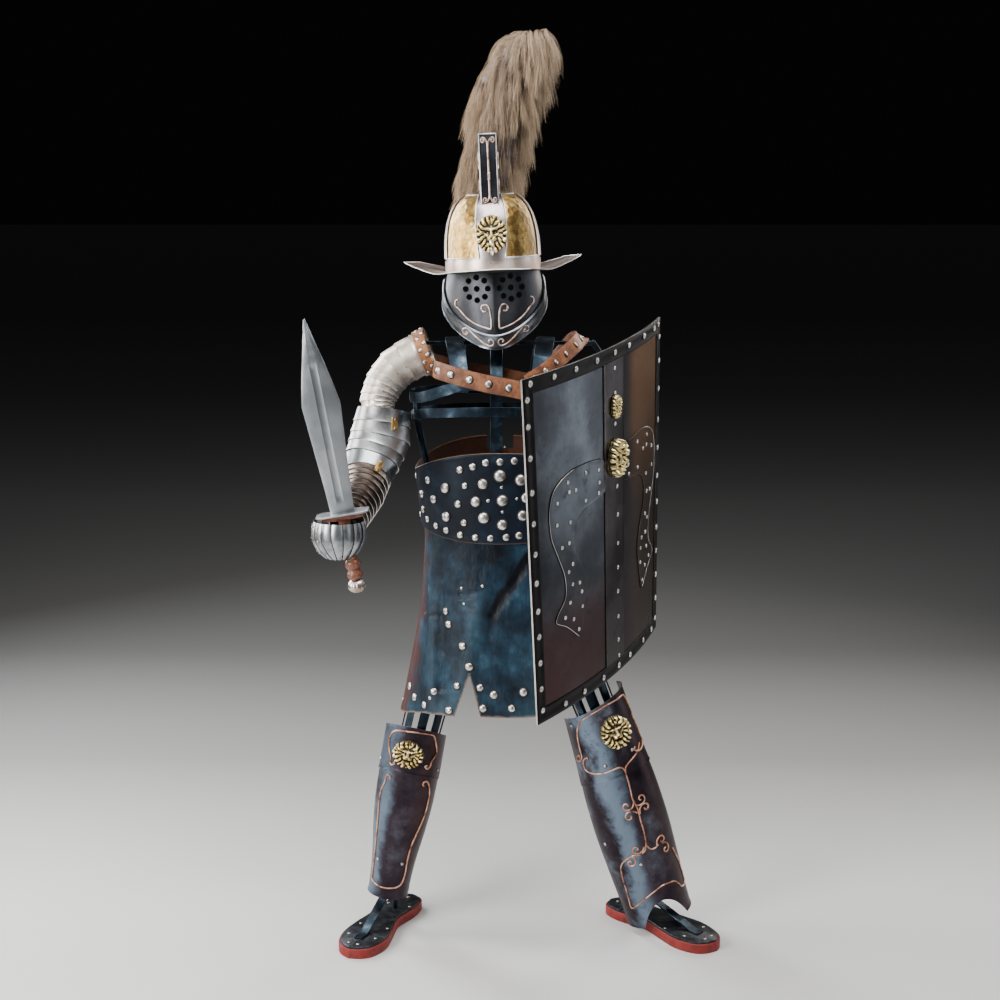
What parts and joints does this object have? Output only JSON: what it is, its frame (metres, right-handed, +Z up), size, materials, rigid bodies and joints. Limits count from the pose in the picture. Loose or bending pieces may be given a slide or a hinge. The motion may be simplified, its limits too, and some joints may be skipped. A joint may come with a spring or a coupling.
{
  "type": "gladiator armour set on an iron strap stand",
  "caption": "Gladiator's crested visored helmet, plate arm guard, short sword, curved shield, leather harness, belt, skirt and greaves, worn by an open iron strap stand.",
  "frame": {"origin": "on the floor, under the middle of the whole set's box", "axes": "+Z up; the set faces -Y; the wearer's sword side is -X and the shield side +X"},
  "size_m": [0.9485, 0.8738, 2.145],
  "materials": {
    "bright_steel": "scratched, lightly tarnished",
    "warm_lame_steel": "warm tarnish, notched edges",
    "patinated_steel": "dark brown and purple patina",
    "blued_iron": "blue-black, satin",
    "hammered_brass": "hammered and cast, darkened in the hollows",
    "blue_black_leather": "smooth, semi-gloss",
    "brown_leather": "worn, satin",
    "red_brown_wood": "turned and oiled",
    "cream_feather": "feathers, soft and matt",
    "red_edge": "red edge under a dark plate"
  },
  "bodies": {
    "root": {"helmet_crown": "bright_steel", "helmet_brim": "bright_steel", "helmet_visor": "bright_steel", "helmet_cheek_guard": "bright_steel", "helmet_crest_box": "bright_steel", "arm_gauntlet": "bright_steel", "sword_blade": "bright_steel", "sword_guard": "bright_steel", "sword_pommel": "bright_steel", "arm_upper_lames": "warm_lame_steel", "arm_elbow_cannon": "warm_lame_steel", "arm_forearm_plate": "warm_lame_steel", "arm_wrist_lames": "warm_lame_steel", "shield_plate": "patinated_steel", "shield_rim": "patinated_steel", "shield_spine": "patinated_steel", "shield_wing_right": "patinated_steel", "shield_wing_left": "patinated_steel", "greave_right_shin": "patinated_steel", "greave_right_knee": "patinated_steel", "greave_left_shin": "patinated_steel", "greave_left_knee": "patinated_steel", "stand_arm_rod": "blued_iron", "shield_grip": "blued_iron", "stand_ring_upper": "blued_iron", "stand_ring_lower": "blued_iron", "stand_ring_waist": "blued_iron", "stand_front_post": "blued_iron", "stand_back_post": "blued_iron", "stand_side_bar_right": "blued_iron", "stand_side_bar_left": "blued_iron", "stand_shoulder_strap_right": "blued_iron", "stand_shoulder_strap_left": "blued_iron", "stand_shoulder_bar": "blued_iron", "stand_thigh_cage_right": "blued_iron", "stand_thigh_cage_left": "blued_iron", "stand_shin_post_right": "blued_iron", "stand_shin_post_left": "blued_iron", "stand_toe_bar_right": "blued_iron", "stand_toe_bar_left": "blued_iron", "stand_shield_rod": "blued_iron", "helmet_brass_panel_right": "hammered_brass", "helmet_brass_panel_left": "hammered_brass", "helmet_lion_mask": "hammered_brass", "shield_mask_small": "hammered_brass", "shield_mask_large": "hammered_brass", "greave_right_mask": "hammered_brass", "greave_left_mask": "hammered_brass", "belt": "blue_black_leather", "skirt_front": "blue_black_leather", "skirt_back": "blue_black_leather", "belt_tab_low": "brown_leather", "belt_tab_high": "brown_leather", "harness_body_strap": "brown_leather", "harness_left_shoulder_strap": "brown_leather", "harness_shoulder_collar": "brown_leather", "sword_grip": "red_brown_wood", "helmet_plume": "cream_feather", "foot_sole_right": "red_edge", "foot_sole_left": "red_edge"}
  },
  "joints": []
}
